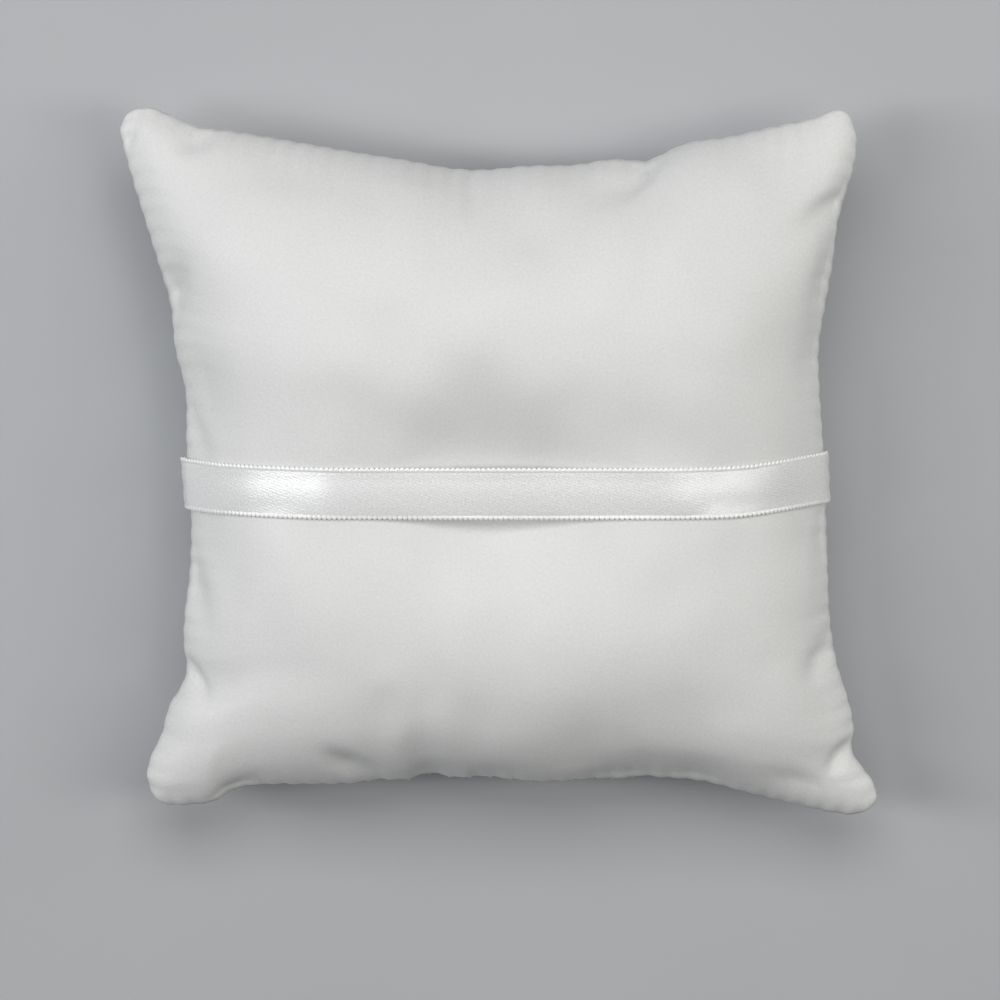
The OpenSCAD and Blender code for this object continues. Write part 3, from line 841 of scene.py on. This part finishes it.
# materials
def newMaterial(name):
    material = bpy.data.materials.new(name)
    material.use_nodes = True
    nodes, links = material.node_tree.nodes, material.node_tree.links
    nodes.clear()
    shader = nodes.new("ShaderNodeBsdfPrincipled")
    output = nodes.new("ShaderNodeOutputMaterial")
    links.new(shader.outputs[0], output.inputs[0])
    return material, nodes, links, shader


def mathNode(nodes, links, operation, a, b):
    node = nodes.new("ShaderNodeMath")
    node.operation = operation
    for socket, value in zip(node.inputs, (a, b)):
        if isinstance(value, (int, float)):
            socket.default_value = value
        else:
            links.new(value, socket)
    return node.outputs[0]


def weighted(nodes, links, a, shareA, b, shareB):
    # the sum of two patterns, each times its share
    first = mathNode(nodes, links, "MULTIPLY", a, shareA)
    return mathNode(nodes, links, "ADD", first, mathNode(nodes, links, "MULTIPLY", b, shareB))


def wave(nodes, links, vector, pitch, direction, distortion=0.0):
    # bands of one pitch, in metres, across the direction given as a turn about the sheet
    turn = nodes.new("ShaderNodeMapping")
    turn.vector_type = "POINT"
    turn.inputs["Rotation"].default_value = (0, 0, math.radians(direction))
    turn.inputs["Scale"].default_value = (1 / pitch,) * 3
    links.new(vector, turn.inputs["Vector"])
    bands = nodes.new("ShaderNodeTexWave")
    bands.wave_type = "BANDS"
    bands.bands_direction = "X"
    bands.inputs["Scale"].default_value = 0.3142  # one band for each unit
    bands.inputs["Distortion"].default_value = distortion
    bands.inputs["Detail"].default_value = 1.0
    bands.inputs["Detail Scale"].default_value = 1.5
    links.new(turn.outputs[0], bands.inputs["Vector"])
    return bands.outputs["Fac"]


def noise(nodes, links, vector, size, stretch=(1, 1, 1), detail=3.0):
    # cloudy grain of one size, in metres, drawn out where stretch is small
    place = nodes.new("ShaderNodeMapping")
    place.inputs["Scale"].default_value = tuple(k / size for k in stretch)
    links.new(vector, place.inputs["Vector"])
    grain = nodes.new("ShaderNodeTexNoise")
    grain.inputs["Scale"].default_value = 1.0
    grain.inputs["Detail"].default_value = detail
    links.new(place.outputs[0], grain.inputs["Vector"])
    return grain.outputs["Fac"]


def ramp(nodes, links, value, low, high):
    span = nodes.new("ShaderNodeMapRange")
    span.inputs["To Min"].default_value = low
    span.inputs["To Max"].default_value = high
    links.new(value, span.inputs["Value"])
    return span.outputs["Result"]


def bump(nodes, links, height, distance, strength=1.0, before=None):
    node = nodes.new("ShaderNodeBump")
    node.inputs["Distance"].default_value = distance
    node.inputs["Strength"].default_value = strength
    links.new(height, node.inputs["Height"])
    if before is not None:
        links.new(before, node.inputs["Normal"])
    return node.outputs["Normal"]


def tint(nodes, links, value, dark, light):
    mix = nodes.new("ShaderNodeMix")
    mix.data_type = "RGBA"
    mix.inputs["A"].default_value = (*dark, 1)
    mix.inputs["B"].default_value = (*light, 1)
    links.new(value, mix.inputs["Factor"])
    return mix.outputs["Result"]


def pillowSatin():
    # matt bridal satin: fine warp floats, faint slubs along them and a soft sheen
    material, nodes, links, shader = newMaterial("pillow_satin")
    where = nodes.new("ShaderNodeTexCoord").outputs["UV"]
    warp = wave(nodes, links, where, 0.30 * mm, 0, 1.2)
    weft = wave(nodes, links, where, 0.42 * mm, 90, 1.2)
    weave = weighted(nodes, links, warp, 0.7, weft, 0.3)
    slub = noise(nodes, links, where, 1.5 * mm, (2.4, 0.7, 1))
    speckle = noise(nodes, links, where, 0.6 * mm, detail=2)
    soft = noise(nodes, links, where, 22 * mm, detail=2)
    fine = bump(nodes, links, weave, 0.03 * mm, 0.5)
    grain = bump(nodes, links, speckle, 0.09 * mm, 0.5, fine)
    shape = bump(nodes, links, slub, 0.10 * mm, 0.4, grain)
    links.new(shape, shader.inputs["Normal"])
    colour = weighted(nodes, links, soft, 0.25, speckle, 0.75)
    white = tint(nodes, links, colour, (0.62, 0.625, 0.615), (0.81, 0.81, 0.80))
    links.new(white, shader.inputs["Base Color"])
    links.new(ramp(nodes, links, slub, 0.46, 0.6), shader.inputs["Roughness"])
    shader.inputs["Specular IOR Level"].default_value = 0.42
    shader.inputs["Sheen Weight"].default_value = 0.25
    shader.inputs["Sheen Roughness"].default_value = 0.45
    shader.inputs["Subsurface Weight"].default_value = 0.06
    shader.inputs["Subsurface Radius"].default_value = (1 * mm, 1 * mm, 1 * mm)
    shader.inputs["Subsurface Scale"].default_value = 1.0
    return material


def ribbonSatin(name, twill, light, dark, gloss):
    # polished ribbon satin: close slanting floats, a gloss, and edges of white thread painted a flat lighter
    # white as a painted highlight for the light their small loops catch
    material, nodes, links, shader = newMaterial(name)
    where = nodes.new("ShaderNodeTexCoord").outputs["UV"]
    floats = wave(nodes, links, where, 0.40 * mm, twill, 0.8)
    cross = wave(nodes, links, where, 0.55 * mm, twill + 72, 0.8)
    speckle = noise(nodes, links, where, 0.45 * mm, detail=2)
    weave = weighted(nodes, links, floats, 0.6, cross, 0.4)
    fine = bump(nodes, links, weave, 0.03 * mm, 0.5)
    grain = bump(nodes, links, speckle, 0.10 * mm, 0.6, fine)
    links.new(grain, shader.inputs["Normal"])
    blotch = weighted(nodes, links, weave, 0.25, speckle, 0.75)
    body = tint(nodes, links, blotch, dark, light)
    # the picot rows get a flat lighter white through the mix below: a painted highlight standing in for the
    # light their small loops catch
    picotPaintedHighlight = nodes.new("ShaderNodeAttribute")
    picotPaintedHighlight.attribute_name = "picotPaintedHighlight"
    mix = nodes.new("ShaderNodeMix")
    mix.data_type = "RGBA"
    mix.inputs["B"].default_value = (0.86, 0.86, 0.85, 1)
    links.new(body, mix.inputs["A"])
    links.new(picotPaintedHighlight.outputs["Fac"], mix.inputs["Factor"])
    links.new(mix.outputs["Result"], shader.inputs["Base Color"])
    links.new(ramp(nodes, links, speckle, gloss - 0.04, gloss + 0.06), shader.inputs["Roughness"])
    shader.inputs["Metallic"].default_value = 0.08
    shader.inputs["Specular IOR Level"].default_value = 0.5
    shader.inputs["Sheen Weight"].default_value = 0.05
    shader.inputs["Sheen Roughness"].default_value = 0.3
    return material


def threadCotton():
    # twisted thread: fine slanting ply lines and a dull shine
    material, nodes, links, shader = newMaterial("white_thread")
    where = nodes.new("ShaderNodeTexCoord").outputs["Object"]
    ply = wave(nodes, links, where, 0.22 * mm, 40, 1.0)
    links.new(bump(nodes, links, ply, 0.05 * mm, 0.7), shader.inputs["Normal"])
    white = tint(nodes, links, ply, (0.70, 0.70, 0.68), (0.86, 0.86, 0.84))
    links.new(white, shader.inputs["Base Color"])
    shader.inputs["Roughness"].default_value = 0.55
    shader.inputs["Sheen Weight"].default_value = 0.2
    return material


def fibreWool():
    # carded fibre: tangled soft strands, dull
    material, nodes, links, shader = newMaterial("fibre_fill")
    where = nodes.new("ShaderNodeTexCoord").outputs["Object"]
    strands = noise(nodes, links, where, 1.2 * mm, (1, 3, 1), 8)
    links.new(bump(nodes, links, strands, 0.6 * mm, 0.8), shader.inputs["Normal"])
    cream = tint(nodes, links, strands, (0.66, 0.65, 0.61), (0.86, 0.85, 0.82))
    links.new(cream, shader.inputs["Base Color"])
    shader.inputs["Roughness"].default_value = 0.9
    shader.inputs["Sheen Weight"].default_value = 0.4
    return material


def plainFloor():
    material, nodes, links, shader = newMaterial("pale_floor")
    where = nodes.new("ShaderNodeTexCoord").outputs["Object"]
    cloud = noise(nodes, links, where, 60 * mm)
    grey = tint(nodes, links, cloud, (0.42, 0.43, 0.445), (0.45, 0.46, 0.475))
    links.new(grey, shader.inputs["Base Color"])
    shader.inputs["Roughness"].default_value = 0.85
    return material


def dress(piece, material):
    piece.data.materials.clear()
    piece.data.materials.append(material)


satin = pillowSatin()
picotRibbon = ribbonSatin("picot_ribbon_satin", 35, (1.0, 1.0, 0.995), (0.53, 0.535, 0.53), 0.3)
narrowRibbon = ribbonSatin("narrow_ribbon_satin", 35, (0.95, 0.95, 0.945), (0.66, 0.665, 0.66), 0.3)
threadWhite = threadCotton()
fibre = fibreWool()

parts = [
    (backPanel, "back_panel", "pillow_satin", satin),
    (frontPanel, "front_panel", "pillow_satin", satin),
    (fillPiece, "fibre_fill", "fibre", fibre),
    (strapPiece, "hand_strap", "picot_ribbon", picotRibbon),
    (loopsPiece, "bow_loops", "narrow_ribbon", narrowRibbon),
    (knotPiece, "bow_knot", "narrow_ribbon", narrowRibbon),
    (tieLeft, "ring_tie_left", "narrow_ribbon", narrowRibbon),
    (tieRight, "ring_tie_right", "narrow_ribbon", narrowRibbon),
    (seamThread, "seam_thread", "thread", threadWhite),
    (closingThread, "closing_stitches", "thread", threadWhite),
    (tuftThread, "tuft_thread", "thread", threadWhite),
]
for piece, node, slotName, material in parts:
    dress(piece, material)
    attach(piece, "root")
    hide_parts(node)

print("pieces dressed")


# floor, light and camera
view = {"distance": 0.9, "tilt": 6.5, "below": 8.0, "sensor": 36,
        "frameWidth": 1000 / 4.93}  # what the frame spans at the seam's height, in millimetres

# each lamp: turn from +Y towards -X, lean from upright, distance, size, power and colour
lamps = [
    ("key_light", 0, 28, 1.15, (0.7, 0.5), 5.15, (1, 1, 1)),
    ("left_light", 86, 41, 0.9, (0.16, 0.6), 3.0, (0.975, 0.985, 1)),
    ("right_light", -86, 30, 0.9, (0.2, 0.6), 2.1, (1, 0.99, 0.95)),
    ("left_low_light", 74, 66, 0.9, (0.3, 0.6), 1.3, (0.975, 0.985, 1)),
    ("right_low_light", -68, 66, 0.9, (0.3, 0.6), 1.6, (1, 0.99, 0.97)),
]


def areaLight(name, place, target, size, power, colour):
    data = bpy.data.lights.new(name, "AREA")
    data.shape = "RECTANGLE"
    data.size, data.size_y = size
    data.energy = power
    data.color = colour
    lamp = bpy.data.objects.new(name, data)
    lamp.location = place
    lamp.rotation_euler = (Vector(target) - Vector(place)).to_track_quat("-Z", "Y").to_euler()
    bpy.context.scene.collection.objects.link(lamp)


def makeStage():
    bpy.ops.mesh.primitive_plane_add(size=6, location=(0, 0, 0))
    floor = bpy.context.object
    floor.name = "floor"
    dress(floor, plainFloor())
    middle = (0, 0, seamZ * mm)
    for name, turn, lean, away, size, power, colour in lamps:
        turn, lean = math.radians(turn), math.radians(lean)
        out = math.sin(lean)
        place = away * np.array([-math.sin(turn) * out, math.cos(turn) * out, math.cos(lean)])
        areaLight(name, Vector(place), middle, size, power, colour)
    world = bpy.data.worlds.new("soft")
    world.use_nodes = True
    world.node_tree.nodes["Background"].inputs["Color"].default_value = (0.9, 0.94, 1, 1)
    world.node_tree.nodes["Background"].inputs["Strength"].default_value = 0.02
    bpy.context.scene.world = world


def makeCamera():
    # the lens is as long as makes the sensor show one frame's width at the seam's height
    data = bpy.data.cameras.new("camera")
    data.sensor_width = view["sensor"]
    distance = view["distance"]
    data.lens = view["sensor"] * distance / (view["frameWidth"] * mm)
    data.clip_start = 0.01
    camera = bpy.data.objects.new("camera", data)
    target = Vector((0.0, -view["below"] * mm, seamZ * mm))
    tilt = math.radians(view["tilt"])
    camera.location = target + Vector((0, math.sin(tilt), math.cos(tilt))) * distance
    camera.rotation_euler = (-tilt, 0, 0)
    bpy.context.scene.collection.objects.link(camera)
    bpy.context.scene.camera = camera


makeStage()
makeCamera()
bpy.context.scene.view_settings.view_transform = "Standard"
print("stage set")
